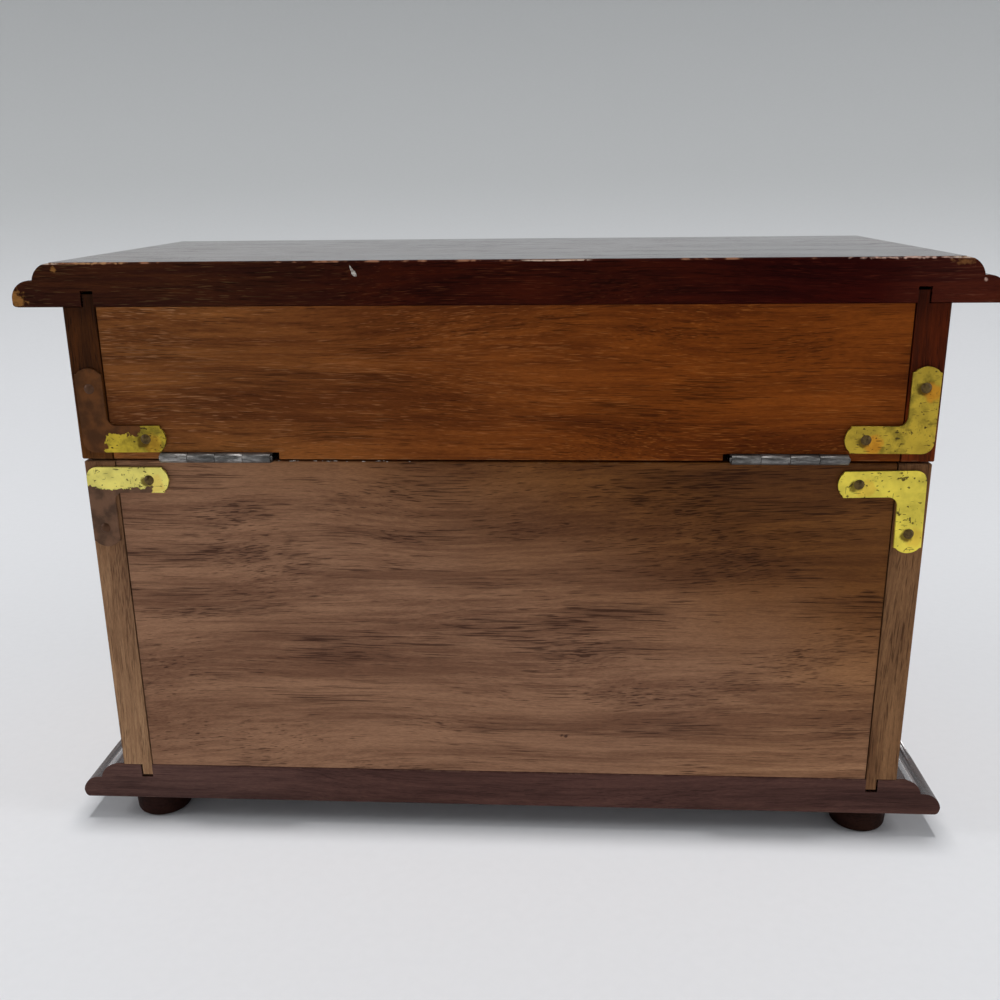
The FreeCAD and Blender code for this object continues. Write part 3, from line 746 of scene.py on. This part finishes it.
top_wood = mahogany("top_wood", roughness=0.45, specular=0.03)
top_polish = mahogany("top_polish", roughness=0.2, coat=0.7, coat_roughness=0.12, specular=0.5,
                      relief_depth=0.03)
base_wood = walnut("base_wood", roughness=0.42)
base_polish = walnut("base_polish", roughness=0.25, coat=1.0, coat_roughness=0.2, coat_ior=2.5,
                     specular=0.5, relief_depth=0.01)
lid_wood = wood("lid_wood", (139, 78, 32), (95, 47, 17), (54, 24, 9), pores=0.6,
                pale=(172, 112, 66), pales=0.5, shift=40, roughness=0.4, wear=0.3, specular=0.05,
                shades=[((-1, 0, 0), -50, 50, (1.0, 0.8, 0.4)),
                        ((1, 0, 0), 10, 80, (1.2, 1.45, 1.9))])
case_wood = wood("case_wood", (166, 123, 94), (123, 85, 63), (56, 31, 23), pores=0.75,
                 pore_size=(13.0, 0.24), shift=60, tilt=0.03, roughness=0.5, wear=0.3,
                 specular=0.1, marks=[((-15.3, BACK_Y / MM, 25.8), 0.6, 2.5, (64, 38, 31))],
                 shades=[((-0.4, 0, 1), 48, 104, (0.54, 0.38, 0.14)),
                         ((-0.7, 0, -0.7), 5, 30, (1.22, 1.22, 1.12))])
lid_side_wood = wood("lid_side_wood", (83, 44, 16), (51, 26, 8), (32, 15, 5), along="z",
                     shift=80, roughness=0.42, wear=0.3, specular=0.05,
                     shades=[((-1, 0, 0), -30, 30, (1.5, 0.75, 0.5)),
                             ((0, 0, 1), 122, 131, (0.5, 0.45, 0.4)),
                             ((0, 0, -1), -112, -100, (1.8, 2.1, 2.2))])
case_side_wood = wood("case_side_wood", (188, 147, 109), (145, 107, 77), (92, 62, 44), along="z",
                      shift=100, roughness=0.5, wear=0.3,
                      shades=[((-1, 0, 0), -30, 30, (0.58, 0.5, 0.42)),
                              ((0, 0, 1), 58, 94, (0.72, 0.66, 0.6))])
# Dark wood of the feet; its two shades lighten each foot's outer side as painted light, as from
# the bright floor beside the box
foot_wood = wood("foot_wood", (40, 22, 17), (24, 13, 10), (17, 9, 7), shift=120, roughness=0.4,
                 specular=0.03, shades=[((1, 0, 0), 80, 90, (1.7, 1.7, 1.8)),
                                        ((-1, 0, 0), 80, 90, (1.7, 1.8, 1.7))])

knock = ((-0.0125, BACK_Y, TOP_Z), 0.0085, 0.0003)
left_rubs = [((0.1049, BACK_Y, 0.1305), 0.0022, 0.0001),
             ((0.0970, BACK_Y, 0.1373), 0.0030, 0.0001)]
right_rubs = [((-0.0966, BACK_Y, 0.1372), 0.0030, 0.0001),
              ((-0.1026, BACK_Y, 0.1325), 0.0016, 0.0001)]
top = dress("lid_top_board", top_wood, bevel=0.25, depth=0.08, worn_from=130.0,
            dents=[knock] + left_rubs + right_rubs)
base = dress("base_board", base_wood, bevel=0.25, depth=0.08, tuck=(2.2, 1.5),
             seed=5)

# The boards' back edges are matt, and the rest is polished
BACK_RIM_Y = BACK_Y - 0.6 * MM
for board, polish in ((top, top_polish), (base, base_polish)):
    board.data.materials.append(polish)
    for face in board.data.polygons:
        polished = face.normal.y < 0.3 and face.center.y < BACK_RIM_Y
        face.material_index = 1 if polished else 0

for owner, panel_wood in (("lid", lid_wood), ("case", case_wood)):
    for face in FACES:
        dress(f"{owner}_{face}_board", panel_wood, bevel=0.12, depth=0.05,
              seed=9)
for owner, side_wood in (("lid", lid_side_wood), ("case", case_side_wood)):
    for side in SIDES:
        dress(f"{owner}_side_{side}", side_wood, bevel=0.15, depth=0.07,
              seed=13)
for face in FACES:
    for side in SIDES:
        dress(f"foot_{face}_{side}", foot_wood, bevel=0.3, depth=0.1, spacing=0,
              seed=17)


# Corner plates, each with its own pattern of wear

plate_looks = {
    "lid_plate_back_right": dict(tone=(214, 186, 62), cover=varnish_on_lid_plate,
                                 cover_colour=(110, 66, 32), dull=0.7),
    "case_plate_back_right": dict(tone=(255, 240, 128), cover=varnish_on_case_plate,
                                  cover_colour=(122, 89, 68), dull=0.1),
    "lid_plate_back_left": dict(tone=(206, 175, 62), dull=0.75, orange=0.6),
}
plates = [f"{owner}_plate_{face}_{side}" for owner in OWNERS for face in FACES for side in SIDES]
for number, name in enumerate(plates):
    material = brass(name + "_brass", pins=pins_of(name), shift=3.0 * number,
                     **plate_looks.get(name, {}))
    dress(name, material, bevel=0.16, depth=0.05, spacing=0, seed=number)


# Hinges, with driver slots in their screws

SCREW_FROM_END = 0.0052
HINGE_SLOT = (2.4, 0.4, 0.7)
TURN_PER_METRE = 40
pin_brass = make_pin_brass()
steel = make_steel("hinge_steel", 142)
rubbed_steel = make_steel("rubbed_steel", 172)
for owner in OWNERS:
    repaint(f"{owner}_plate_pins", pin_brass)
    screws = dress(f"{owner}_hinge_screws", steel, bevel=0.05, depth=0.02,
                   spacing=0)
    screw_low, screw_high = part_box(f"{owner}_hinge_screws")
    screw_y = (screw_low.y + screw_high.y) / 2
    head_z, way = (screw_high.z, -1) if owner == "case" else (screw_low.z, 1)
    slots = []
    for side in SIDES:
        leaf_steel = rubbed_steel if (owner, side) == ("case", "right") else steel
        leaf = f"{owner}_hinge_leaf_{side}"
        dress(leaf, leaf_steel, bevel=0.06, depth=0.03, spacing=0)
        leaf_low, leaf_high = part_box(leaf)
        for x in (leaf_low.x + SCREW_FROM_END, leaf_high.x - SCREW_FROM_END):
            slots.append(((x, screw_y, head_z), (0, 0, way), TURN_PER_METRE * x, HINGE_SLOT))
    cut_slots(screws, slots)
for side in SIDES:
    repaint(f"hinge_pin_{side}", steel)


# Hook, its washer and screw, and the stud it catches

HOOK_SLOT = (8.0, 0.6, 1.0)
catch_brass = brass("catch_brass", dull=0.4, shift=50)
for name in ("front_hook", "hook_washer", "hook_screw", "hook_stud"):
    worn = dress(name, catch_brass, bevel=0.1, depth=0.03, spacing=0, seed=21)
    if name == "hook_screw":
        screw_low, screw_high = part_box(name)
        centre = (screw_low + screw_high) / 2
        cut_slots(worn, [((centre.x, screw_low.y, centre.z), (0, 1, 0), 0.5, HOOK_SLOT)])


# Felt, the fleck on the top board and the fluff in the parting line

lay_felt("floor_felt", make_felt())
fleck_paint = make_fleck_paint()
flakes("top_fleck", "lid", fleck_paint,
       [((0.0308, BACK_Y - 0.00002, 0.1363), (0.0006, 0.0003, 0.0020), 0.5),
        ((0.0304, BACK_Y - 0.00002, 0.1357), (0.0010, 0.0003, 0.0014), 0.3)])
chance = random.Random(3)
fluff = []
for _ in range(22):
    x = chance.uniform(0.017, 0.051)
    size = chance.uniform(0.00015, 0.0004)
    fluff.append(((x, BACK_Y - 0.0003, PARTING_Z + chance.uniform(-0.0001, 0.0002)),
                  (size * chance.uniform(0.8, 2.2), 0.0003, size * 0.5), 0.0))
flakes("parting_fluff", "case", fleck_paint, fluff)
